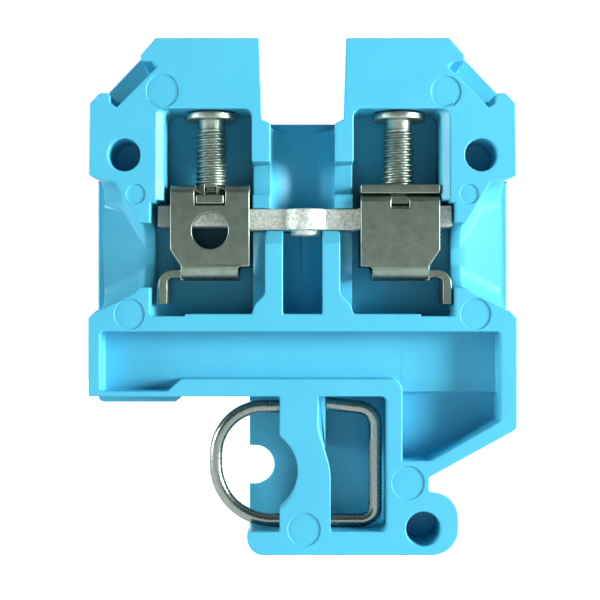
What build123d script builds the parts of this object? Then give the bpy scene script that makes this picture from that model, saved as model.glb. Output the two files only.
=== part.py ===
"""Slice-type feed-through terminal block for a G-profile rail.

Frame: +X to the right and +Z up as the open side is seen, -Y towards the viewer. The origin lies under the
middle of the block, at the underside of its foot and half way through its thickness. Millimetres.
Heights of walls and floors are measured from the closed back face towards the open side.
"""
from build123d import *
import os

os.makedirs("parts", exist_ok=True)

# Overall sizes of the moulding
thickness = 6.5
half_width = 20.0
total_height = 48.25
back_wall = 0.9

# Screw towers and the gap between them
tower_top_reach = 13.7
tower_nose_reach = 15.1
tower_nose_drop = 1.6
tower_gap_half_top = 4.05
tower_gap_half_bottom = 3.8
tower_top_wall = 6.6
mid_wall_top = 40.2
mid_wall_half = 2.75
ramp_rise = 0.45
edge_radius = 0.3
small_radius = 0.2

# Marker slots, cut at 45 degrees between the tower and its outer horn
horn_reach = 18.05
horn_top = 43.1
horn_flat = 0.9
horn_outer_reach = 19.85
horn_corner_drop = 0.95
slot_run = 2.0
slot_opening = 0.4
slot_overlap = 0.95
slot_foot_drop = 0.45
slot_lip = 0.7
slot_lip_back = 0.1
slot_lip_drop = 0.9

# Sides, wire entries and the lower block
shoulder_z = 35.45
shoulder_reach = 19.95
entry_reach = 19.35
entry_top = 35.15
entry_bottom = 22.75
lower_shoulder_z = 22.1
body_bottom_left = 13.85
body_bottom_inner = 14.8
left_heel_reach = 12.4
left_heel_slope = 1.15
heel_radius = 0.65

# Foot, with its fixed ear on the right
foot_left = 5.2
foot_corner = 1.6
slope_outer_z = 11.75
slope_inner_z = 7.25
rail_notch_x = 11.8
rail_notch_gap = 1.4
ear_reach = 14.55
ear_corner = 2.5
ear_nose = 2.4

# Screw chambers
chamber_inner = 4.75
chamber_outer = 13.75
chamber_outer_low = 14.25
chamber_step_z = 32.9
chamber_floor = 22.3
chamber_floor_step = 0.2
chamber_floor_step_x = 11.0
chamber_radius = 0.7
driver_bore_radius = 2.2

# Middle channel and the walls beside it
channel_radius = 3.03
leg_bottom = 36.7
leg_recess_height = 3.5
block_top = 33.8
block_height = 5.2
rib_outer = 3.5
rib_inner = 1.86
rib_flare_z = 24.4
rib_flare_drop = 1.0
rib_flare_reach = 4.45
rib_flare_radius = 0.5
rib_ramp = 1.35
rib_top_height = 5.0
ledge_height = 3.0

# Wire entries: a round-bottomed throat that widens outwards into a funnel
throat_low = 25.0
throat_high = 31.0
throat_run = 4.1
entry_corner = 2.4
funnel_mouth_run = 1.85
funnel_mouth_high = 34.75
funnel_lower_run = 3.55
funnel_lower_z = 24.45
funnel_rise = 1.1

# Label recess
label_left = 18.9
label_right = 18.45
label_top = 20.85
label_bottom = 16.45
label_bottom_left = 15.3
label_heel_right = 12.65
label_heel_left = 11.35
label_wall = 9.3
label_low = 8.8
label_low_reach = 11.95
label_low_right = 12.55
label_floor = 3.9
label_low_floor = 3.0
label_low_top = 15.05
label_radius = 0.4
label_wall_radius = 1.1

# Round blind holes and the shallow round marks of the ejector pins
tower_hole_x = 16.65
tower_hole_z = 37.35
tower_hole_radius = 1.52
ear_hole_x = 11.25
ear_hole_z = 2.45
ear_hole_radius = 1.61
blind_hole_depth = 5.0
mark_depth = 0.12
large_mark = 1.56
middle_mark = 1.45
small_mark = 0.92
tower_mark_left_x = -13.05
tower_mark_left_z = 43.35
tower_mark_right_x = 13.4
tower_mark_right_z = 43.25
side_mark_x = 16.15
side_mark_z = 22.5
horn_mark_x = 15.55
horn_mark_z = 33.7
foot_mark_x = 0.15
foot_mark_z = 2.4
ear_mark_x = 9.85
ear_mark_z = 6.75

# Pocket of the foot spring, its bridge, stop rib and the half-round cut
pocket_right = 7.85
pocket_bottom = 2.2
pocket_radius = 0.6
bridge_left = 2.15
bridge_right = 1.45
bridge_right_low = 2.6
bridge_shoulder_z = 11.7
bridge_waist_z = 8.1
bridge_shoulder_radius = 3.0
bridge_waist_radius = 6.0
bridge_overlap = 0.2
bridge_depth = 1.85
hollow_x = -4.65
hollow_z = 7.75
hollow_radius = 4.2
back_cut_radius = 1.87
stop_rib_left = 1.35
stop_rib_width = 0.8
stop_rib_bottom = 9.8

# Clamping screws, M3 with 0.5 mm pitch
screw_x_left = -8.7
screw_x_right = 9.15
screw_height = 3.6
thread_major = 3.0
screw_head_diameter = 5.1
screw_head_height = 0.65
screw_slot_width = 0.8
screw_slot_depth = 0.35
screw_head_gap = 0.15
screw_tip_gap = 0.4

# Current bar, with a threaded eye for the cross-connection screw
bar_left = -13.7
bar_right = 14.1
bar_bottom = 30.42
bar_thickness = 2.0
bar_depth = 2.8
bar_crank = 0.33
bar_crank_start = 5.1
bar_crank_run = 0.9
bar_clearance = 0.04
eye_x = 0.3
eye_radius = 2.3
eye_collar_radius = 1.5
eye_collar_drop = 0.5
eye_bore_radius = 1.25

# Clamping yokes, folded from steel strip
sheet = 0.85
yoke_depth = 4.9
yoke_half_width = 3.72
yoke_top = 34.65
yoke_bottom = 25.65
yoke_bend = 1.25
yoke_flange_bend = 0.68
yoke_flange_gap = 0.12
yoke_screw_clearance = 0.06
window_width = 2.9
window_height = 2.6
tongue_width = 2.6
rear_slot_width = 1.7
rear_slot_depth = 0.4
sight_hole_radius = 1.7
sight_hole_z = 30.3
chamfer_width = 1.0
chamfer_start = 0.5
chamfer_rise = 2.0
corner_notch_width = 1.1
corner_notch_rise = 0.43
tail_reach = 4.9
tail_root = 0.3
tail_rise = 0.45
tail_drop = 2.25
tail_width = 3.4
tail_bend = 1.4
tail_inner_bend = 0.55

# Foot spring of round wire
wire_diameter = 1.25
ring_left = 8.25
ring_right = 6.9
ring_bottom_clearance = 0.05
ring_top = 13.7
ring_end_rise = 0.25
ring_stop_gap = 0.06
ring_bridge_gap = 0.05
ring_upper_left_bend = 4.6
ring_lower_left_bend = 5.35
ring_upper_right_bend = 1.7
ring_lower_right_bend = 1.35

# How far cutting shapes reach past the walls that they cut
cut_margin = 0.1

# Values worked out from the sizes above
chamber_roof = total_height - tower_top_wall
pocket_top = body_bottom_inner
screw_y = thickness / 2 - screw_height
bar_top = bar_bottom + bar_thickness
bar_end_top = bar_top + bar_crank
screw_tip = bar_end_top + screw_tip_gap
screw_top = chamber_roof - screw_head_gap
bridge_back = thickness - bridge_depth
ring_height = bridge_back - ring_bridge_gap - wire_diameter / 2
ring_y = thickness / 2 - ring_height
wall_reach = 2 * (chamber_inner + cut_margin)


def level(height):
    """Sketch plane at a height above the closed back face, facing the open side."""
    return Plane.XZ.offset(height - thickness / 2)


def closed_outline(*corners):
    """Face inside closed straight runs; each corner gives x, z and the radius that rounds it."""
    with BuildLine() as edge_line:
        FilletPolyline(*[(x, z) for x, z, r in corners], radius=[r for x, z, r in corners], close=True)
    make_face(edge_line.edges())


def mirrored(corners):
    """The same corners on the other side of the middle, in the opposite order."""
    return [(-x, z, r) for x, z, r in reversed(corners)]


# Outline of the moulding, the same on both sides down to the wire entries
nose_bottom = horn_reach + horn_top - tower_nose_reach
slot_side = horn_reach + horn_top - slot_run
ear_top = slope_inner_z - rail_notch_gap
upper_side = [
    (entry_reach, entry_bottom, 0),
    (entry_reach, entry_top, 0),
    (shoulder_reach, shoulder_z, 0),
    (horn_outer_reach, horn_top - horn_corner_drop, small_radius),
    (horn_reach + horn_flat, horn_top, edge_radius),
    (horn_reach, horn_top, 0),
    (tower_nose_reach, nose_bottom, 0),
    (tower_nose_reach, total_height - tower_nose_drop, edge_radius),
    (tower_top_reach, total_height, edge_radius),
    (tower_gap_half_top, total_height, small_radius),
    (tower_gap_half_bottom, mid_wall_top + ramp_rise, 0),
    (mid_wall_half, mid_wall_top, 0),
]
right_base = [
    (ear_reach, 0, ear_corner),
    (ear_reach, ear_top, ear_nose),
    (rail_notch_x, ear_top, edge_radius),
    (rail_notch_x, slope_inner_z, 0),
    (half_width, slope_outer_z, heel_radius),
    (half_width, lower_shoulder_z, small_radius),
]
left_base = [
    (-half_width, lower_shoulder_z, small_radius),
    (-half_width, body_bottom_left, heel_radius),
    (-left_heel_reach, body_bottom_left, edge_radius),
    (-left_heel_reach + left_heel_slope, body_bottom_inner, edge_radius),
    (-foot_left, body_bottom_inner, 0),
    (-foot_left, 0, foot_corner),
]

# Openings of one screw chamber and marker slot, given for the right side
chamber = [
    (chamber_inner, chamber_roof, chamber_radius),
    (chamber_outer, chamber_roof, chamber_radius),
    (chamber_outer, chamber_step_z, 0),
    (chamber_outer_low, chamber_step_z, 0),
    (chamber_outer_low, chamber_floor, edge_radius),
    (chamber_floor_step_x, chamber_floor, 0),
    (chamber_floor_step_x, chamber_floor + chamber_floor_step, 0),
    (chamber_inner, chamber_floor + chamber_floor_step, 0),
]
marker_slot = [
    (tower_nose_reach + slot_opening, nose_bottom, 0),
    (tower_nose_reach - slot_overlap, nose_bottom, small_radius),
    (slot_side - nose_bottom + slot_foot_drop, nose_bottom - slot_foot_drop, 0),
    (horn_reach - slot_lip, slot_side - horn_reach + slot_lip, 0),
    (horn_reach - slot_lip_back, horn_top - slot_lip_drop, small_radius),
    (horn_reach, horn_top, 0),
]
leg_side = [
    (rib_outer, bar_bottom, 0),
    (rib_outer, rib_flare_z, rib_flare_radius),
    (rib_flare_reach, rib_flare_z - rib_flare_drop, rib_flare_radius),
    (chamber_inner, chamber_floor + chamber_floor_step, 0),
    (chamber_inner + cut_margin, chamber_floor + chamber_floor_step, 0),
    (chamber_inner + cut_margin, bar_bottom, 0),
]
label_recess = [
    (-label_left, label_top, label_radius),
    (-label_left, label_bottom_left, label_radius),
    (-label_heel_right, label_bottom_left, 0),
    (-label_heel_left, label_bottom, 0),
    (label_wall, label_bottom, label_wall_radius),
    (label_wall, label_low, 0),
    (label_low_reach, label_low, 0),
    (label_right, label_low_right, label_radius),
    (label_right, label_top, label_radius),
]
label_low_part = [
    (label_wall, label_low_top, 0),
    (label_wall, label_low, 0),
    (label_low_reach, label_low, 0),
    (label_right, label_low_right, label_radius),
    (label_right, label_low_top, 0),
]

def between(reach, start, end):
    """Height at a reach on the straight line from one point to another, each given as reach and height."""
    return start[1] + (end[1] - start[1]) * (reach - start[0]) / (end[0] - start[0])


# Cutter of the right wire entry: sections across it, from the chamber out past the mouth
throat_reach = entry_reach - throat_run
funnel_mouth = entry_reach - funnel_mouth_run
funnel_lower_reach = entry_reach - funnel_lower_run
lower_at_mouth = between(funnel_mouth, (funnel_lower_reach, funnel_lower_z), (entry_reach, entry_bottom))
upper_at_lower = between(funnel_lower_reach, (throat_reach, throat_high), (funnel_mouth, funnel_mouth_high))
with BuildPart() as entry_cut:
    for reach, low, high in (
        (min(chamber_outer_low, throat_reach) - cut_margin, throat_low, throat_high),
        (throat_reach, throat_low, throat_high),
        (funnel_lower_reach, funnel_lower_z, upper_at_lower),
        (funnel_mouth, lower_at_mouth, funnel_mouth_high),
        (entry_reach, entry_bottom, entry_top),
        (max(half_width, entry_reach) + cut_margin, entry_bottom, entry_top),
    ):
        widened = min(max(reach, throat_reach), entry_reach)
        rise = between(widened, (throat_reach, funnel_rise), (entry_reach, 0))
        floor_y = thickness / 2 - back_wall - rise
        with BuildSketch(Plane.YZ.offset(reach)):
            with BuildLine():
                FilletPolyline(
                    (-thickness, low),
                    (floor_y, low),
                    (floor_y, high),
                    (-thickness, high),
                    radius=[0, entry_corner, entry_corner, 0],
                    close=True,
                )
            make_face()
    loft(ruled=True)

with BuildPart() as housing:
    # Moulding, before anything is taken out of it
    with BuildSketch(level(0)):
        closed_outline(*right_base, *upper_side, *mirrored(upper_side), *left_base)
    extrude(amount=thickness)

    # Screw chambers and marker slots, down to the back wall
    with BuildSketch(level(back_wall)):
        closed_outline(*chamber)
        closed_outline(*mirrored(chamber))
        closed_outline(*marker_slot)
        closed_outline(*mirrored(marker_slot))
    extrude(amount=thickness, mode=Mode.SUBTRACT)

    # Wire entries, a throat and a funnel on each side
    add(entry_cut.part, mode=Mode.SUBTRACT)
    add(mirror(entry_cut.part, about=Plane.YZ), mode=Mode.SUBTRACT)

    # Middle channel, a round groove above the bar and a narrower one between the two ribs
    channel_y = thickness / 2 - back_wall - channel_radius
    with BuildSketch(Plane.XY.offset(bar_bottom - bar_clearance)):
        with Locations((0, channel_y)):
            Circle(channel_radius)
            Rectangle(2 * channel_radius, thickness, align=(Align.CENTER, Align.MAX))
    extrude(amount=total_height, mode=Mode.SUBTRACT)
    groove_y = thickness / 2 - back_wall - rib_inner
    groove_bottom = chamber_floor + chamber_floor_step
    with BuildSketch(Plane.XY.offset(groove_bottom)):
        with Locations((0, groove_y)):
            Circle(rib_inner)
            Rectangle(2 * rib_inner, thickness, align=(Align.CENTER, Align.MAX))
    extrude(amount=bar_bottom - groove_bottom, mode=Mode.SUBTRACT)

    # Slot that takes the current bar, with the walls beside it stepped back above and below
    slot_floor = screw_height - bar_depth / 2
    with BuildSketch(level(slot_floor)):
        with Locations((0, bar_bottom - bar_clearance)):
            Rectangle(wall_reach, bar_thickness + 2 * bar_clearance, align=(Align.CENTER, Align.MIN))
    extrude(amount=thickness, mode=Mode.SUBTRACT)
    with BuildSketch(level(block_height)):
        with Locations((0, bar_top)):
            Rectangle(wall_reach, block_top - bar_top, align=(Align.CENTER, Align.MIN))
    extrude(amount=thickness, mode=Mode.SUBTRACT)
    with BuildSketch(level(leg_recess_height)):
        with Locations((0, block_top)):
            Rectangle(wall_reach, leg_bottom - block_top, align=(Align.CENTER, Align.MIN))
    extrude(amount=thickness, mode=Mode.SUBTRACT)
    with BuildSketch(level(ledge_height)):
        closed_outline(*leg_side)
        closed_outline(*mirrored(leg_side))
    extrude(amount=thickness, mode=Mode.SUBTRACT)

    # Ramped tops of the two ribs that carry the bar
    front_y = -thickness / 2
    rib_ledge_y = thickness / 2 - rib_top_height
    with BuildSketch(Plane.YZ):
        with BuildLine():
            Polyline(
                (front_y - cut_margin, bar_bottom - rib_ramp),
                (front_y, bar_bottom - rib_ramp),
                (rib_ledge_y, bar_bottom),
                (front_y - cut_margin, bar_bottom),
                close=True,
            )
        make_face()
    extrude(amount=rib_outer + cut_margin, both=True, mode=Mode.SUBTRACT)

    # Label recess, deeper in its lower part
    with BuildSketch(level(label_floor)):
        closed_outline(*label_recess)
    extrude(amount=thickness, mode=Mode.SUBTRACT)
    with BuildSketch(level(label_low_floor)):
        closed_outline(*label_low_part)
    extrude(amount=thickness, mode=Mode.SUBTRACT)

    # Pocket of the foot spring, open to the left, with the half-round cut in its back
    with BuildSketch(level(back_wall)):
        closed_outline(
            (-half_width, pocket_bottom, 0),
            (pocket_right, pocket_bottom, pocket_radius),
            (pocket_right, pocket_top, pocket_radius),
            (-half_width, pocket_top, 0),
        )
    extrude(amount=thickness, mode=Mode.SUBTRACT)
    with BuildSketch(level(0)):
        with Locations((hollow_x, hollow_z)):
            Circle(back_cut_radius)
            Rectangle(half_width, 2 * back_cut_radius, align=(Align.MAX, Align.CENTER))
    extrude(amount=back_wall, mode=Mode.SUBTRACT)

    # Bridge in front of the spring, and the rib behind it that stops both ends of the wire
    with BuildSketch(level(bridge_back)):
        closed_outline(
            (-bridge_left, pocket_top + bridge_overlap, 0),
            (-bridge_left, pocket_bottom - bridge_overlap, 0),
            (bridge_right_low, pocket_bottom - bridge_overlap, 0),
            (bridge_right_low, bridge_waist_z, bridge_waist_radius),
            (bridge_right, bridge_shoulder_z, bridge_shoulder_radius),
            (bridge_right, pocket_top + bridge_overlap, 0),
        )
        with Locations((hollow_x, hollow_z)):
            Circle(hollow_radius, mode=Mode.SUBTRACT)
    extrude(amount=bridge_depth)
    with BuildSketch(level(back_wall)):
        with Locations((stop_rib_left, stop_rib_bottom)):
            Rectangle(stop_rib_width, pocket_top - stop_rib_bottom, align=(Align.MIN, Align.MIN))
    extrude(amount=bridge_back - back_wall)

    # Round blind holes in the towers and in the ear
    with BuildSketch(level(thickness - blind_hole_depth)):
        with Locations((-tower_hole_x, tower_hole_z), (tower_hole_x, tower_hole_z)):
            Circle(tower_hole_radius)
        with Locations((ear_hole_x, ear_hole_z)):
            Circle(ear_hole_radius)
    extrude(amount=thickness, mode=Mode.SUBTRACT)

    # Bores that let a screwdriver reach the screws from above
    with BuildSketch(Plane.XY.offset(chamber_roof - cut_margin)):
        with Locations((screw_x_left, screw_y), (screw_x_right, screw_y)):
            Circle(driver_bore_radius)
    extrude(amount=total_height, mode=Mode.SUBTRACT)

    # Shallow round marks that the ejector pins leave
    with BuildSketch(level(thickness - mark_depth)):
        with Locations(
            (tower_mark_left_x, tower_mark_left_z),
            (foot_mark_x, foot_mark_z),
            (ear_mark_x, ear_mark_z),
        ):
            Circle(large_mark)
        with Locations(
            (tower_mark_right_x, tower_mark_right_z),
            (-side_mark_x, side_mark_z),
            (side_mark_x, side_mark_z),
        ):
            Circle(middle_mark)
        with Locations((-horn_mark_x, horn_mark_z), (horn_mark_x, horn_mark_z)):
            Circle(small_mark)
    extrude(amount=thickness, mode=Mode.SUBTRACT)
housing.part.label = "housing"
export_step(housing.part, "parts/housing.step")


# Current bar with its ends cranked up and a round eye in the middle
with BuildPart() as current_bar:
    crank_end = bar_crank_start + bar_crank_run
    with BuildSketch(level(screw_height - bar_depth / 2)):
        with BuildLine():
            Polyline(
                (bar_left, bar_bottom + bar_crank),
                (-crank_end, bar_bottom + bar_crank),
                (-bar_crank_start, bar_bottom),
                (bar_crank_start, bar_bottom),
                (crank_end, bar_bottom + bar_crank),
                (bar_right, bar_bottom + bar_crank),
                (bar_right, bar_end_top),
                (crank_end, bar_end_top),
                (bar_crank_start, bar_top),
                (-bar_crank_start, bar_top),
                (-crank_end, bar_end_top),
                (bar_left, bar_end_top),
                close=True,
            )
        make_face()
    extrude(amount=bar_depth)
    with BuildSketch(Plane.XY.offset(bar_bottom)):
        with Locations((eye_x, screw_y)):
            Circle(eye_radius)
    extrude(amount=bar_thickness)
    with BuildSketch(Plane.XY.offset(bar_bottom - eye_collar_drop)):
        with Locations((eye_x, screw_y)):
            Circle(eye_collar_radius)
    extrude(amount=eye_collar_drop)
    with BuildSketch(Plane.XY.offset(bar_bottom - eye_collar_drop)):
        with Locations((eye_x, screw_y)):
            Circle(eye_bore_radius)
    extrude(amount=bar_thickness + eye_collar_drop, mode=Mode.SUBTRACT)
current_bar.part.label = "current_bar"
export_step(current_bar.part, "parts/current_bar.step")


def clamp_screw(axis_x):
    """Clamping screw with a flat round slotted head; its thread is left as a plain shank."""
    head_bottom = screw_top - screw_head_height
    with BuildPart() as screw:
        with BuildSketch(Plane.XY.offset(head_bottom)):
            with Locations((axis_x, screw_y)):
                Circle(screw_head_diameter / 2)
        extrude(amount=screw_head_height)
        with BuildSketch(Plane.XY.offset(screw_tip)):
            with Locations((axis_x, screw_y)):
                Circle(thread_major / 2)
        extrude(amount=head_bottom - screw_tip)
        with BuildSketch(Plane.XY.offset(screw_top - screw_slot_depth)):
            with Locations((axis_x, screw_y)):
                Rectangle(screw_head_diameter + cut_margin, screw_slot_width)
        extrude(amount=screw_slot_depth, mode=Mode.SUBTRACT)
    return screw


clamp_screw_left = clamp_screw(screw_x_left)
clamp_screw_left.part.label = "clamp_screw_left"
export_step(clamp_screw_left.part, "parts/clamp_screw_left.step")

clamp_screw_right = clamp_screw(screw_x_right)
clamp_screw_right.part.label = "clamp_screw_right"
export_step(clamp_screw_right.part, "parts/clamp_screw_right.step")

# Levels and depths shared by both yokes
upper_flange_bottom = yoke_top - sheet
lower_flange_top = upper_flange_bottom - yoke_flange_gap
lower_flange_bottom = lower_flange_top - sheet
yoke_floor = yoke_bottom + sheet
yoke_half_depth = yoke_depth / 2
inner_half_depth = yoke_half_depth - sheet


def clamp_yoke(axis_x, outward):
    """Yoke folded from one strip; outward is -1 or 1, the side of the block that its tail points to.

    The pierced plate faces the viewer where outward is -1 and the back where it is 1.
    """
    section = Plane(origin=(axis_x, screw_y, 0), x_dir=(0, outward, 0), z_dir=(outward, 0, 0))
    side_view = Plane(origin=(axis_x, screw_y, 0), x_dir=(outward, 0, 0), z_dir=(0, -outward, 0))
    top_view = Plane(origin=(axis_x, screw_y, 0), x_dir=(outward, 0, 0), z_dir=(0, 0, 1))
    with BuildPart() as yoke:
        # Folded strip: two plates, a floor, and two flanges that lap over each other at the top
        with BuildSketch(section):
            closed_outline(
                (yoke_half_depth, yoke_bottom, yoke_bend),
                (yoke_half_depth, yoke_top, sheet),
                (-yoke_half_depth, yoke_top, 0),
                (-yoke_half_depth, upper_flange_bottom, 0),
                (inner_half_depth, upper_flange_bottom, 0),
                (inner_half_depth, yoke_floor, yoke_bend - sheet),
                (-inner_half_depth, yoke_floor, yoke_bend - sheet),
                (-inner_half_depth, lower_flange_bottom, 0),
                (inner_half_depth - yoke_flange_gap, lower_flange_bottom, 0),
                (inner_half_depth - yoke_flange_gap, lower_flange_top, 0),
                (-yoke_half_depth, lower_flange_top, yoke_flange_bend),
                (-yoke_half_depth, yoke_bottom, yoke_bend),
            )
        extrude(amount=yoke_half_width, both=True)

        # Lower corners of the strip, cut back on the tail side and notched on the other
        with BuildSketch(side_view):
            closed_outline(
                (yoke_half_width - chamfer_width, yoke_bottom - cut_margin, 0),
                (yoke_half_width - chamfer_width, yoke_floor + chamfer_start, 0),
                (yoke_half_width, yoke_floor + chamfer_rise, 0),
                (yoke_half_width + cut_margin, yoke_floor + chamfer_rise, 0),
                (yoke_half_width + cut_margin, yoke_bottom - cut_margin, 0),
            )
            closed_outline(
                (-yoke_half_width - cut_margin, yoke_bottom - cut_margin, 0),
                (-yoke_half_width - cut_margin, yoke_floor + corner_notch_rise, 0),
                (-yoke_half_width + corner_notch_width, yoke_floor + corner_notch_rise, edge_radius),
                (-yoke_half_width + corner_notch_width, yoke_bottom - cut_margin, 0),
            )
        extrude(amount=yoke_depth, both=True, mode=Mode.SUBTRACT)

        # Window of the pierced plate with the tongue in it, the sight hole and the slot behind
        with BuildSketch(side_view.offset(-yoke_half_depth)):
            with Locations((0, lower_flange_bottom - yoke_flange_gap)):
                Rectangle(window_width, window_height, align=(Align.CENTER, Align.MIN))
            with Locations((0, sight_hole_z)):
                Circle(sight_hole_radius)
        extrude(amount=sheet + yoke_flange_gap, mode=Mode.SUBTRACT)
        with BuildSketch(side_view.offset(-yoke_half_depth)):
            with Locations((0, lower_flange_bottom)):
                Rectangle(tongue_width, sheet, align=(Align.CENTER, Align.MIN))
        extrude(amount=sheet + 2 * yoke_flange_gap)
        with BuildSketch(side_view.offset(yoke_half_depth)):
            with Locations((0, lower_flange_bottom - rear_slot_depth)):
                Rectangle(rear_slot_width, sheet + rear_slot_depth, align=(Align.CENTER, Align.MIN))
        extrude(amount=-sheet, mode=Mode.SUBTRACT)

        # Threaded hole through both flanges, left plain
        with BuildSketch(top_view.offset(lower_flange_bottom)):
            Circle(thread_major / 2 + yoke_screw_clearance)
        extrude(amount=yoke_top - lower_flange_bottom, mode=Mode.SUBTRACT)

        # Tail that hangs down in front of the wire entry while the clamp is open
        tail_inner = tail_reach - sheet
        with BuildSketch(side_view):
            closed_outline(
                (yoke_half_width - chamfer_width - tail_root, yoke_bottom, 0),
                (tail_inner, yoke_bottom + tail_rise, tail_inner_bend),
                (tail_inner, yoke_bottom - tail_drop, 0),
                (tail_reach, yoke_bottom - tail_drop, 0),
                (tail_reach, yoke_floor + tail_rise, tail_bend),
                (yoke_half_width - chamfer_width - tail_root, yoke_floor, 0),
            )
        extrude(amount=tail_width / 2, both=True)
    return yoke


clamp_yoke_left = clamp_yoke(screw_x_left, -1)
clamp_yoke_left.part.label = "clamp_yoke_left"
export_step(clamp_yoke_left.part, "parts/clamp_yoke_left.step")

clamp_yoke_right = clamp_yoke(screw_x_right, 1)
clamp_yoke_right.part.label = "clamp_yoke_right"
export_step(clamp_yoke_right.part, "parts/clamp_yoke_right.step")


# Foot spring: an open ring of round wire whose ends stand on both sides of the stop rib
with BuildPart() as foot_spring:
    ring_bottom = pocket_bottom + ring_bottom_clearance + wire_diameter / 2
    with BuildLine(Plane.XZ.offset(-ring_y)) as ring_path:
        FilletPolyline(
            (stop_rib_left + stop_rib_width + ring_stop_gap, ring_top + ring_end_rise),
            (ring_right, ring_top - ring_end_rise),
            (ring_right, ring_bottom),
            (-ring_left, ring_bottom),
            (-ring_left, ring_top),
            (stop_rib_left - ring_stop_gap, ring_top),
            radius=[
                ring_upper_right_bend,
                ring_lower_right_bend,
                ring_lower_left_bend,
                ring_upper_left_bend,
            ],
        )
    ring_wire = ring_path.wires()[0]
    with BuildSketch(Plane(origin=ring_wire @ 0, z_dir=ring_wire % 0)):
        Circle(wire_diameter / 2)
    sweep(path=ring_wire)
foot_spring.part.label = "foot_spring"
export_step(foot_spring.part, "parts/foot_spring.step")
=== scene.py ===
"""Looks of the feed-through terminal block: blue moulding, tinned bar, steel yokes and screws, foot wire."""
import math
import bmesh
import bpy
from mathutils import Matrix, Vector


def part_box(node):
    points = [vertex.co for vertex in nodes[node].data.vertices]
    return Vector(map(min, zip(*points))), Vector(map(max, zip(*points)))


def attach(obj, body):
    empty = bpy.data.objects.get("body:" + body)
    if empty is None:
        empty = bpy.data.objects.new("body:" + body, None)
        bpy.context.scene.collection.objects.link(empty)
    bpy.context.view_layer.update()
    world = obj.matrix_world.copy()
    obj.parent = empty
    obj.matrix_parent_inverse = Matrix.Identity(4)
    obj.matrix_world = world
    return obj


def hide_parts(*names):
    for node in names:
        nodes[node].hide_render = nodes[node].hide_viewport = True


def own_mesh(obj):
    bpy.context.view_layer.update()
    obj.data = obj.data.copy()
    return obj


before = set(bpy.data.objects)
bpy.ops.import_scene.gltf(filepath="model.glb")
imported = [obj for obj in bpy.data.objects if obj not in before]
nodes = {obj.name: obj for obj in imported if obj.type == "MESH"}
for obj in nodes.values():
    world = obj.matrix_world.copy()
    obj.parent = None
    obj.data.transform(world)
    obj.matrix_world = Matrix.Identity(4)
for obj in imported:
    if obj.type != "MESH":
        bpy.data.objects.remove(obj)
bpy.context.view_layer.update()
MM = 0.001


# Places read from the frame
block_low, block_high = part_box("housing")
front_y = block_low[1]
back_y = block_high[1]

# Back wall where it reaches further out than the open side, as x and z corners in mm on the right
back_wall = 0.9 * MM
entry_wall = ((19.0, 22.6), (19.55, 22.5), (19.98, 22.2), (19.98, 35.44), (19.9, 35.4), (19.0, 35.0))
slot_wall = (
    (18.97, 44.04), (15.9, 47.27), (15.6, 47.45), (14.0, 47.45), (14.0, 45.5), (17.0, 42.6), (18.97, 42.6)
)

# Outer walls of the screw chambers, whose front edge slopes in, as x and z corners in mm on the right
lip_narrow = (
    (14.1, 33.15), (13.7, 33.15), (13.7, 41.3), (13.62, 41.52), (13.43, 41.6), (13.2, 41.72), (14.1, 42.2)
)
lip_full = (
    (14.1, 33.15), (13.0, 33.15), (13.0, 41.0), (12.87, 41.35), (12.65, 41.55), (12.35, 41.72), (14.1, 42.2)
)
lip_setback = 0.02 * MM
lip_slope = 0.65 * MM
lip_overlap = 0.2 * MM

# Wall between the towers, whose top rises above the channel
bridge_rise = ((-4.1, 39.9), (4.1, 39.9), (4.1, 40.95), (-4.1, 40.95))
bridge_front = 2.1 * MM

# Places across the housing, in mm, where its flat faces are parted between holes, recesses and marks
housing_seams = (-16.0, -13.3, -12.3, -8.7, 0.15, 9.15, 10.3, 12.3, 13.4, 16.0)

# Clamping screws
thread_radius = 1.5 * MM
thread_pitch = 0.5 * MM

# Meshes
corner_weld = 0.001 * MM
flat_angle = math.radians(0.6)


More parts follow.
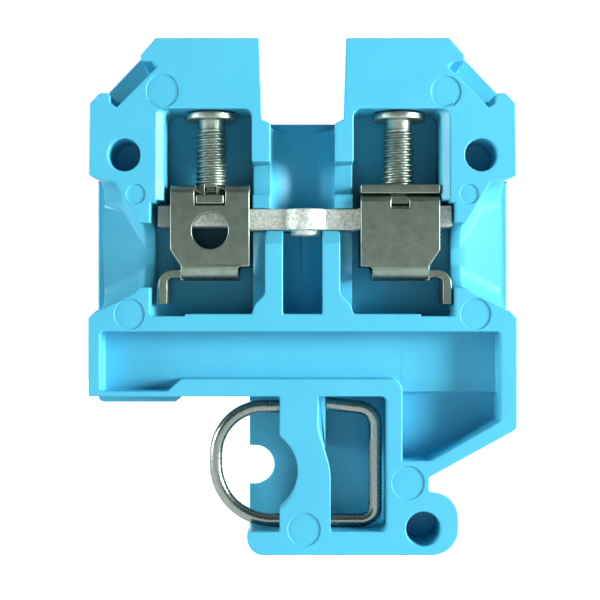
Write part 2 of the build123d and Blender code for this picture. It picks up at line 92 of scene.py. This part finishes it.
# Materials
class Finish:
    """Builds one procedural material on Object coordinates."""

    def __init__(self, name, metallic=0.0):
        self.material = bpy.data.materials.new(name)
        self.material.use_nodes = True
        self.tree = self.material.node_tree
        self.shader = self.tree.nodes["Principled BSDF"]
        self.shader.inputs["Metallic"].default_value = metallic
        self.place = self.node("TexCoord").outputs["Object"]

    def node(self, kind, **settings):
        made = self.tree.nodes.new("ShaderNode" + kind)
        for name, value in settings.items():
            setattr(made, name, value)
        return made

    def link(self, source, target):
        self.tree.links.new(source, target)

    def noise(self, size, detail=4.0, roughness=0.55):
        """Noise whose grain is about size metres."""
        grain = self.node("TexNoise")
        grain.inputs["Scale"].default_value = 1.0 / size
        grain.inputs["Detail"].default_value = detail
        grain.inputs["Roughness"].default_value = roughness
        self.link(self.place, grain.inputs["Vector"])
        return grain.outputs["Fac"]

    def ramp(self, source, *stops):
        """Colour ramp with stops given as place and colour or grey level."""
        ramp = self.node("ValToRGB")
        while len(ramp.color_ramp.elements) < len(stops):
            ramp.color_ramp.elements.new(0.5)
        for element, (place, value) in zip(ramp.color_ramp.elements, stops):
            element.position = place
            element.color = (*value, 1) if isinstance(value, tuple) else (value, value, value, 1)
        self.link(source, ramp.inputs["Fac"])
        return ramp.outputs["Color"]

    def blend(self, source, low, high):
        """From the low to the high colour or grey level over the middle of a noise's range."""
        return self.ramp(source, (0.3, low), (0.7, high))

    def beyond(self, axis, start, end):
        """0 up to the start along an axis, 1 from the end on, with a straight blend between them."""
        spot = self.node("SeparateXYZ")
        self.link(self.place, spot.inputs[0])
        blend = self.node("MapRange")
        blend.inputs["From Min"].default_value = start
        blend.inputs["From Max"].default_value = end
        self.link(spot.outputs[axis], blend.inputs["Value"])
        return blend.outputs["Result"]

    def mixed(self, share, first, second):
        """First colour where the share is 0 and second colour where it is 1."""
        mix = self.node("Mix", data_type="RGBA")
        self.link(share, mix.inputs["Factor"])
        self.link(first, mix.inputs["A"])
        mix.inputs["B"].default_value = (*second, 1)
        return mix.outputs["Result"]

    def colour(self, source):
        self.link(source, self.shader.inputs["Base Color"])

    def roughness(self, source):
        self.link(source, self.shader.inputs["Roughness"])

    def bump(self, height, distance, strength):
        bump = self.node("Bump")
        bump.inputs["Strength"].default_value = strength
        bump.inputs["Distance"].default_value = distance
        self.link(height, bump.inputs["Height"])
        self.link(bump.outputs["Normal"], self.shader.inputs["Normal"])


def blue_moulding():
    """Smooth polyamide with a hardly visible change of shade and a very fine grain."""
    deep_blue = (0.072, 0.464, 0.665)
    clear_blue = (0.081, 0.488, 0.690)
    finish = Finish("blue_moulding")
    shade = finish.noise(6 * MM, detail=3)
    finish.colour(finish.blend(shade, deep_blue, clear_blue))
    finish.roughness(finish.blend(finish.noise(1.2 * MM), 0.38, 0.48))
    finish.bump(finish.noise(0.12 * MM, detail=2), distance=0.006 * MM, strength=0.5)
    finish.shader.inputs["IOR"].default_value = 1.45
    finish.shader.inputs["Specular IOR Level"].default_value = 0.4
    return finish.material


def tinned_copper():
    """Blotchy matt tin, with painted shade darkening the bar's left end."""
    dull_tin = (0.29, 0.325, 0.29)
    plain_tin = (0.52, 0.575, 0.53)
    bright_tin = (0.72, 0.78, 0.73)
    shaded_end_tin = (0.28, 0.31, 0.28)
    finish = Finish("tinned_copper", metallic=1.0)
    blotch = finish.noise(0.35 * MM, detail=6, roughness=0.7)
    plated = finish.ramp(blotch, (0.32, dull_tin), (0.5, plain_tin), (0.7, bright_tin))
    # Painted shade: beyond the left yoke the bar's end is coloured darker, as if it lay in shadow.
    shaded_left_end = finish.beyond("X", -12.0 * MM, -12.4 * MM)
    finish.colour(finish.mixed(shaded_left_end, plated, shaded_end_tin))
    finish.roughness(finish.blend(blotch, 0.74, 0.60))
    finish.bump(blotch, distance=0.02 * MM, strength=0.6)
    return finish.material


def yoke_steel():
    """Plated sheet steel, with painted shade making the rear plates dark."""
    dark_plating = (0.165, 0.215, 0.180)
    light_plating = (0.225, 0.290, 0.243)
    painted_rear_shade = (0.012, 0.045, 0.058)
    finish = Finish("yoke_steel", metallic=1.0)
    cloud = finish.noise(0.8 * MM, detail=5)
    plated = finish.blend(cloud, dark_plating, light_plating)
    # Painted shade: the rear plates are coloured near-black blue for the shade behind the sight holes.
    shaded_rear_plate = finish.beyond("Y", 0.9 * MM, 1.2 * MM)
    finish.colour(finish.mixed(shaded_rear_plate, plated, painted_rear_shade))
    finish.roughness(finish.blend(finish.noise(0.25 * MM), 0.32, 0.42))
    finish.bump(finish.noise(0.10 * MM, detail=3), distance=0.004 * MM, strength=0.5)
    return finish.material


def screw_steel():
    """Plated screw steel with a cloudy shine."""
    dark_steel = (0.22, 0.27, 0.23)
    light_steel = (0.34, 0.41, 0.36)
    finish = Finish("screw_steel", metallic=1.0)
    cloud = finish.noise(0.5 * MM, detail=4)
    finish.colour(finish.blend(cloud, dark_steel, light_steel))
    finish.roughness(finish.blend(cloud, 0.38, 0.50))
    finish.bump(finish.noise(0.08 * MM, detail=2), distance=0.004 * MM, strength=0.4)
    return finish.material


def spring_wire():
    """Bright drawn wire."""
    dark_wire = (0.19, 0.22, 0.20)
    light_wire = (0.26, 0.30, 0.272)
    finish = Finish("spring_wire", metallic=1.0)
    cloud = finish.noise(0.25 * MM, detail=3)
    finish.colour(finish.blend(cloud, dark_wire, light_wire))
    finish.roughness(finish.blend(cloud, 0.20, 0.30))
    return finish.material


# Rounding of sharp edges
def far_side(face, edge):
    """How far the face reaches from the edge's line."""
    start, end = (corner.co for corner in edge.verts)
    along = (end - start).normalized()
    offsets = [corner.co - start for corner in face.verts]
    return max((offset - along * offset.dot(along)).length for offset in offsets)


def weigh_edges(work, rounding, sharp_angle):
    """Give each sharp edge a rounding that its two faces have room for, and none at a needle-like corner."""
    share_of_room = 0.4
    needle_angle = math.radians(40)
    weight = work.edges.layers.float.new("bevel_weight_edge")
    for edge in work.edges:
        if len(edge.link_faces) == 2 and edge.calc_face_angle(0) > sharp_angle:
            room = min(far_side(face, edge) for face in edge.link_faces)
            edge[weight] = min(1.0, share_of_room * room / rounding)
    needles = set()
    for face in work.faces:
        for loop in face.loops:
            ahead, behind = loop.edge, loop.link_loop_prev.edge
            if ahead[weight] > 0 and behind[weight] > 0 and loop.calc_angle() < needle_angle:
                needles.update((ahead, behind))
    for edge in needles:
        edge[weight] = 0.0
        edge.smooth = False


def round_edges(piece, rounding, segments):
    bevel = piece.modifiers.new("edge rounding", "BEVEL")
    bevel.width = rounding
    bevel.segments = segments
    bevel.limit_method = "WEIGHT"
    bevel.use_clamp_overlap = False


# Cuts through a mesh
def everything(work):
    return work.verts[:] + work.edges[:] + work.faces[:]


def edges_of(cut):
    return [part for part in cut["geom_cut"] if isinstance(part, bmesh.types.BMEdge)]


def quiet_place(work, wanted):
    """Place across x near the wanted one, as far as possible from the corners of the mesh."""
    search = 0.4 * MM
    steps = 17
    places = [wanted + search * (2 * step / (steps - 1) - 1) for step in range(steps)]
    return max(places, key=lambda place: min(abs(vert.co.x - place) for vert in work.verts))


def part_at(work, wanted):
    """Seam through the whole mesh across x, so that a flat face is never wrapped round a hole or recess."""
    spot = (quiet_place(work, wanted), 0, 0)
    parting = bmesh.ops.bisect_plane(work, geom=everything(work), plane_co=spot, plane_no=(1, 0, 0))
    for edge in edges_of(parting):
        edge.seam = True


def keep_above(work, height):
    """Cut off what lies below the height and close the cut."""
    cut = bmesh.ops.bisect_plane(
        work, geom=everything(work), plane_co=(0, 0, height), plane_no=(0, 0, -1), clear_outer=True
    )
    bmesh.ops.holes_fill(work, edges=edges_of(cut))
    bmesh.ops.recalc_face_normals(work, faces=work.faces)


# Plates and joined meshes
def in_scene(name, data):
    """New object in the scene, made of a mesh, a camera or a lamp."""
    made = bpy.data.objects.new(name, data)
    bpy.context.scene.collection.objects.link(made)
    return made


def evaluated_mesh(piece):
    """The piece's mesh with its modifiers worked in, which leaves it without any."""
    graph = bpy.context.evaluated_depsgraph_get()
    finished = bpy.data.meshes.new_from_object(piece.evaluated_get(graph))
    piece.modifiers.clear()
    piece.data = finished
    return finished


def plate(name, *outlines):
    """Closed plate through outlines from front to back, each a y place and its x and z corners in mm."""
    work = bmesh.new()
    rings = [[work.verts.new((x * MM, y, z * MM)) for x, z in corners] for y, corners in outlines]
    work.faces.new(rings[0])
    work.faces.new(rings[-1])
    for near, far in zip(rings, rings[1:]):
        for here in range(len(near)):
            following = (here + 1) % len(near)
            work.faces.new((near[here], near[following], far[following], far[here]))
    bmesh.ops.recalc_face_normals(work, faces=work.faces)
    mesh = bpy.data.meshes.new(name)
    work.to_mesh(mesh)
    work.free()
    return in_scene(name, mesh)


def fused(mesh, plates):
    """The mesh made one solid with the plates, which are used up."""
    whole = in_scene("whole", mesh)
    for added in plates:
        union = whole.modifiers.new(added.name, "BOOLEAN")
        union.operation = "UNION"
        union.solver = "EXACT"
        union.object = added
    result = evaluated_mesh(whole)
    for used in (whole, *plates):
        bpy.data.objects.remove(used)
    return result


def merged(mesh):
    """The mesh with its loose faces joined at their corners."""
    work = bmesh.new()
    work.from_mesh(mesh)
    bmesh.ops.remove_doubles(work, verts=work.verts, dist=corner_weld)
    work.to_mesh(mesh)
    work.free()
    return mesh


# Pieces carried over from the frame
def rounded_copy(node, name, rounding, segments=2, sharp_angle=25.0, above=None, seams=(), plates=()):
    """Copy of a frame node, fused with plates, parted at seams and cut at a height if asked, and rounded."""
    mesh = merged(nodes[node].data.copy())
    if plates:
        mesh = fused(mesh, plates)
    mesh.name = name
    work = bmesh.new()
    work.from_mesh(mesh)
    bmesh.ops.remove_doubles(work, verts=work.verts, dist=corner_weld)
    for place in seams:
        part_at(work, place * MM)
    bmesh.ops.dissolve_limit(
        work, angle_limit=flat_angle, verts=work.verts, edges=work.edges, delimit={"SEAM"}
    )
    if above is not None:
        keep_above(work, above)
    for face in work.faces:
        face.smooth = True
    weigh_edges(work, rounding, math.radians(sharp_angle))
    work.to_mesh(mesh)
    work.free()
    piece = in_scene(name, mesh)
    round_edges(piece, rounding, segments)
    return piece


def settle(piece, node, body, material):
    """Turn the piece's modifiers into a plain mesh that stands for the node and moves with its body."""
    shading = piece.modifiers.new("even shading", "WEIGHTED_NORMAL")
    shading.keep_sharp = True
    finished = evaluated_mesh(piece)
    finished.materials.clear()
    finished.materials.append(material)
    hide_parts(node)
    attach(piece, body)


def housing_plates():
    """Plates that fill out the walls on both sides and the wall between the towers."""
    wall_front = back_y - back_wall
    lip_front = front_y + lip_setback
    plates = [plate("bridge_rise", (bridge_front, bridge_rise), (back_y, bridge_rise))]
    for side in (-1, 1):
        entry, slot, narrow, full = (
            [(side * x, z) for x, z in outline] for outline in (entry_wall, slot_wall, lip_narrow, lip_full)
        )
        lip = ((lip_front, narrow), (lip_front + lip_slope, full), (wall_front + lip_overlap, full))
        plates.append(plate(f"entry_wall_{side}", (wall_front, entry), (back_y, entry)))
        plates.append(plate(f"slot_wall_{side}", (wall_front, slot), (back_y, slot)))
        plates.append(plate(f"chamber_lip_{side}", *lip))
    return plates


def housing_body():
    body = rounded_copy("housing", "housing_body", 0.14 * MM, seams=housing_seams, plates=housing_plates())
    settle(body, "housing", "block", blue_moulding())


def bar_plate():
    bar = rounded_copy("current_bar", "bar_plate", 0.10 * MM)
    settle(bar, "current_bar", "block", tinned_copper())


def clamp_yoke(side, steel):
    node = "clamp_yoke_" + side
    yoke = rounded_copy(node, "yoke_" + side, 0.11 * MM, segments=3)
    settle(yoke, node, side + "_yoke", steel)


# Threaded shanks
class Shape:
    """Builds one geometry node tree with named inputs for its sizes."""

    def __init__(self, name, sizes):
        self.tree = bpy.data.node_groups.new(name, "GeometryNodeTree")
        ends = self.tree.interface
        ends.new_socket("Geometry", in_out="INPUT", socket_type="NodeSocketGeometry")
        self.sockets = {}
        for size, value in sizes.items():
            socket = ends.new_socket(size, in_out="INPUT", socket_type="NodeSocketFloat")
            socket.default_value = value
            self.sockets[size] = socket.identifier
        material = ends.new_socket("Material", in_out="INPUT", socket_type="NodeSocketMaterial")
        self.material = material.identifier
        ends.new_socket("Geometry", in_out="OUTPUT", socket_type="NodeSocketGeometry")
        self.given = self.tree.nodes.new("NodeGroupInput")
        self.result = self.tree.nodes.new("NodeGroupOutput")

    def node(self, kind, **settings):
        made = self.tree.nodes.new(kind)
        for name, value in settings.items():
            setattr(made, name, value)
        return made

    def feed(self, socket, value):
        """Link a socket to a node's output, or give it a plain number."""
        if isinstance(value, bpy.types.NodeSocket):
            self.tree.links.new(value, socket)
        else:
            socket.default_value = value

    def size(self, name):
        return self.given.outputs[name]

    def work_out(self, operation, *values):
        made = self.node("ShaderNodeMath", operation=operation)
        for socket, value in zip(made.inputs, values):
            self.feed(socket, value)
        return made.outputs[0]

    def blend_over(self, value, start, end):
        """Smooth step from 0 to 1 as value goes from start to end."""
        step = self.node("ShaderNodeMapRange", interpolation_type="SMOOTHSTEP")
        for name, number in (("Value", value), ("From Min", start), ("From Max", end)):
            self.feed(step.inputs[name], number)
        return step.outputs["Result"]

    def close(self, geometry):
        """End the tree in Realize Instances and Set Material."""
        real = self.node("GeometryNodeRealizeInstances")
        painted = self.node("GeometryNodeSetMaterial")
        self.feed(real.inputs[0], geometry)
        self.feed(painted.inputs["Geometry"], real.outputs[0])
        self.feed(painted.inputs["Material"], self.given.outputs["Material"])
        self.feed(self.result.inputs[0], painted.outputs[0])

    def use_on(self, piece, material, **sizes):
        modifier = piece.modifiers.new(self.tree.name, "NODES")
        modifier.node_group = self.tree
        for name, value in sizes.items():
            modifier[self.sockets[name.replace("_", " ")]] = value
        modifier[self.material] = material


def threaded_shank():
    """Right-hand thread under a screw head: a bar whose radius follows the helix, with a neck and a tip."""
    sides = 40
    rings_a_turn = 10.0
    flank_start = 0.12
    flank_end = 0.88
    run_out = 1.6
    neck_curve = 1.6
    shape = Shape("threaded_shank", {
        "axis x": 0.0, "axis y": 0.0, "tip z": 0.0, "length": 10 * MM,
        "pitch": thread_pitch, "crest radius": thread_radius, "root radius": 1.28 * MM,
        "neck radius": 1.36 * MM, "neck height": 0.8 * MM, "tip chamfer": 0.35 * MM,
    })
    work_out = shape.work_out
    length = shape.size("length")
    pitch = shape.size("pitch")
    crest = shape.size("crest radius")
    root = shape.size("root radius")
    neck_height = shape.size("neck height")

    bar = shape.node("GeometryNodeMeshCylinder", fill_type="NGON")
    ring_gap = work_out("DIVIDE", pitch, rings_a_turn)
    shape.feed(bar.inputs["Vertices"], sides)
    shape.feed(bar.inputs["Side Segments"], work_out("DIVIDE", length, ring_gap))
    shape.feed(bar.inputs["Radius"], 1.0)
    shape.feed(bar.inputs["Depth"], length)
    spot = shape.node("ShaderNodeSeparateXYZ")
    shape.feed(spot.inputs[0], shape.node("GeometryNodeInputPosition").outputs[0])
    height = work_out("ADD", spot.outputs["Z"], work_out("MULTIPLY", length, 0.5))
    angle = work_out("ARCTAN2", spot.outputs["Y"], spot.outputs["X"])

    turns_up = work_out("DIVIDE", height, pitch)
    turns_round = work_out("DIVIDE", angle, math.tau)
    phase = work_out("FRACT", work_out("SUBTRACT", turns_up, turns_round))
    peak = work_out("ABSOLUTE", work_out("SUBTRACT", work_out("MULTIPLY", phase, 2.0), 1.0))
    under_head = work_out("SUBTRACT", length, height)
    thread_start = work_out("MULTIPLY", neck_height, run_out)
    threaded = shape.blend_over(under_head, neck_height, thread_start)
    ridge = work_out("MULTIPLY", shape.blend_over(peak, flank_start, flank_end), threaded)
    radius = work_out("MULTIPLY_ADD", ridge, work_out("SUBTRACT", crest, root), root)

    toward_head = work_out("SUBTRACT", 1.0, work_out("DIVIDE", under_head, neck_height))
    widened = work_out("POWER", work_out("MAXIMUM", toward_head, 0.0), neck_curve)
    radius = work_out("MULTIPLY_ADD", widened, work_out("SUBTRACT", shape.size("neck radius"), root), radius)
    tip_radius = work_out("SUBTRACT", crest, shape.size("tip chamfer"))
    radius = work_out("MINIMUM", radius, work_out("ADD", tip_radius, height))

    moved = shape.node("GeometryNodeSetPosition")
    target = shape.node("ShaderNodeCombineXYZ")
    across = work_out("MULTIPLY", work_out("COSINE", angle), radius)
    forward = work_out("MULTIPLY", work_out("SINE", angle), radius)
    shape.feed(target.inputs["X"], work_out("ADD", across, shape.size("axis x")))
    shape.feed(target.inputs["Y"], work_out("ADD", forward, shape.size("axis y")))
    shape.feed(target.inputs["Z"], work_out("ADD", height, shape.size("tip z")))
    shape.feed(moved.inputs["Geometry"], bar.outputs["Mesh"])
    shape.feed(moved.inputs["Position"], target.outputs[0])
    both = shape.node("GeometryNodeJoinGeometry")
    shape.feed(both.inputs[0], shape.given.outputs["Geometry"])
    shape.feed(both.inputs[0], moved.outputs[0])
    shape.close(both.outputs[0])
    return shape


def clamp_screw(side, shank, steel):
    """Rounded head with a threaded shank that reaches a little way into it."""
    node = "clamp_screw_" + side
    low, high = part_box(node)
    axis = (low + high) / 2
    beside_shank = 1.2 * thread_radius
    above_underside = 0.001 * MM
    into_head = 0.01 * MM
    corners = [vert.co for vert in nodes[node].data.vertices]
    head = [spot for spot in corners if math.hypot(spot.x - axis.x, spot.y - axis.y) > beside_shank]
    underside = min(spot.z for spot in head)
    screw = rounded_copy(node, "screw_" + side, 0.12 * MM, segments=3, above=underside + above_underside)
    length = underside + into_head - low.z
    shank.use_on(screw, steel, axis_x=axis.x, axis_y=axis.y, tip_z=low.z, length=length)
    settle(screw, node, side + "_screw", steel)


def foot_wire():
    """Sprung foot wire, whose left bow gives to the right on the rail while the right end stays put; here it
    is a rounded copy carried rigidly with the block.
    """
    wire = rounded_copy("foot_spring", "foot_wire_loop", 0.06 * MM, sharp_angle=35.0)
    settle(wire, "foot_spring", "block", spring_wire())
    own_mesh(wire)


housing_body()
bar_plate()
yoke_metal = yoke_steel()
screw_metal = screw_steel()
shank = threaded_shank()
for side in ("left", "right"):
    clamp_yoke(side, yoke_metal)
    clamp_screw(side, shank, screw_metal)
foot_wire()


# Camera at the photograph's angle, in pixels of the photograph and millimetres on the block's front
image_size = 600
axis_px = (300.0, 300.0)
zero_px = (302.75, 555.5)
mm_per_px = 0.0932
sensor_width = 36
camera_distance = 115 * MM
camera_x = (axis_px[0] - zero_px[0]) * mm_per_px * MM
camera_z = (zero_px[1] - axis_px[1]) * mm_per_px * MM
view_width = image_size * mm_per_px * MM
camera_data = bpy.data.cameras.new("camera")
camera_data.sensor_width = sensor_width
camera_data.lens = sensor_width * camera_distance / view_width
camera_data.clip_start = 5 * MM
camera = in_scene("camera", camera_data)
camera.location = (camera_x, front_y - camera_distance, camera_z)
camera.rotation_euler = (math.radians(90), 0, 0)
bpy.context.scene.camera = camera


# Floor, backdrop and light
def seen_directly(tree):
    """1 for what the camera, a mirror-like surface or clear material looks at, and 0 for plain light."""
    path = tree.nodes.new("ShaderNodeLightPath")
    total = path.outputs["Is Camera Ray"]
    for ray in ("Is Glossy Ray", "Is Transmission Ray"):
        either = tree.nodes.new("ShaderNodeMath")
        either.operation = "MAXIMUM"
        tree.links.new(total, either.inputs[0])
        tree.links.new(path.outputs[ray], either.inputs[1])
        total = either.outputs[0]
    return total


def paper(name, glow):
    """White paper that keeps shadows and is lifted to white where the camera or a reflection sees it."""
    pale = 0.85
    material = bpy.data.materials.new(name)
    material.use_nodes = True
    tree = material.node_tree
    tree.nodes.clear()
    output = tree.nodes.new("ShaderNodeOutputMaterial")
    diffuse = tree.nodes.new("ShaderNodeBsdfDiffuse")
    diffuse.inputs["Color"].default_value = (pale, pale, pale, 1)
    emission = tree.nodes.new("ShaderNodeEmission")
    emission.inputs["Strength"].default_value = glow
    seen = seen_directly(tree)
    both = tree.nodes.new("ShaderNodeAddShader")
    mix = tree.nodes.new("ShaderNodeMixShader")
    link = tree.links.new
    link(diffuse.outputs[0], both.inputs[0])
    link(emission.outputs[0], both.inputs[1])
    link(seen, mix.inputs[0])
    link(diffuse.outputs[0], mix.inputs[1])
    link(both.outputs[0], mix.inputs[2])
    link(mix.outputs[0], output.inputs["Surface"])
    return material


def paper_floor(reach, back_reach):
    """Sheet of white paper under the block, which ends a short way behind it."""
    outline = ((-reach, -reach), (reach, -reach), (reach, back_reach), (-reach, back_reach))
    mesh = bpy.data.meshes.new("floor")
    mesh.from_pydata([(x, y, block_low[2]) for x, y in outline], [], [(0, 1, 2, 3)])
    mesh.materials.append(paper("white_paper", glow=0.94))
    in_scene("floor", mesh)


def studio(room_light, room_seen):
    """Dim room with a white backdrop: white for the camera, and in metal white behind and dim in front."""
    dim_until = -0.7
    white_from = 0.35
    world = bpy.data.worlds.new("studio")
    world.use_nodes = True
    tree = world.node_tree
    link = tree.links.new

    def work_out(operation, *values):
        made = tree.nodes.new("ShaderNodeMath")
        made.operation = operation
        for socket, value in zip(made.inputs, values):
            if isinstance(value, bpy.types.NodeSocket):
                link(value, socket)
            else:
                socket.default_value = value
        return made.outputs[0]

    rays = tree.nodes.new("ShaderNodeLightPath").outputs
    way = tree.nodes.new("ShaderNodeSeparateXYZ")
    link(tree.nodes.new("ShaderNodeTexCoord").outputs["Generated"], way.inputs[0])
    behind = tree.nodes.new("ShaderNodeMapRange")
    behind.interpolation_type = "SMOOTHSTEP"
    behind.inputs["From Min"].default_value = dim_until
    behind.inputs["From Max"].default_value = white_from
    behind.inputs["To Min"].default_value = room_seen
    link(way.outputs["Y"], behind.inputs["Value"])
    mirrored_rays = work_out("MAXIMUM", rays["Is Glossy Ray"], rays["Is Transmission Ray"])
    in_metal = work_out("MULTIPLY", mirrored_rays, behind.outputs["Result"])
    seen = work_out("MAXIMUM", rays["Is Camera Ray"], in_metal)
    background = tree.nodes["Background"]
    background.inputs["Color"].default_value = (1, 1, 1, 1)
    link(work_out("MAXIMUM", seen, room_light), background.inputs["Strength"])
    bpy.context.scene.world = world


def soft_lamp(name, place, aim, size, power):
    data = bpy.data.lights.new(name, "AREA")
    data.shape = "DISK"
    data.size = size
    data.energy = power
    lamp = in_scene(name, data)
    lamp.location = place
    lamp.rotation_euler = (Vector(aim) - Vector(place)).to_track_quat("-Z", "Y").to_euler()


paper_floor(reach=1, back_reach=0.25)
studio(room_light=0.02, room_seen=0.17)
middle = (0, 0, (block_low[2] + block_high[2]) / 2)
soft_lamp("key", place=(0.36, -0.15, 0.07), aim=middle, size=0.14, power=3.4)
soft_lamp("fill", place=(-0.37, -0.10, 0.07), aim=middle, size=0.16, power=1.35)
soft_lamp("behind", place=(0.05, 0.45, 0.15), aim=middle, size=0.30, power=2.2)

bpy.context.scene.view_settings.view_transform = "Standard"
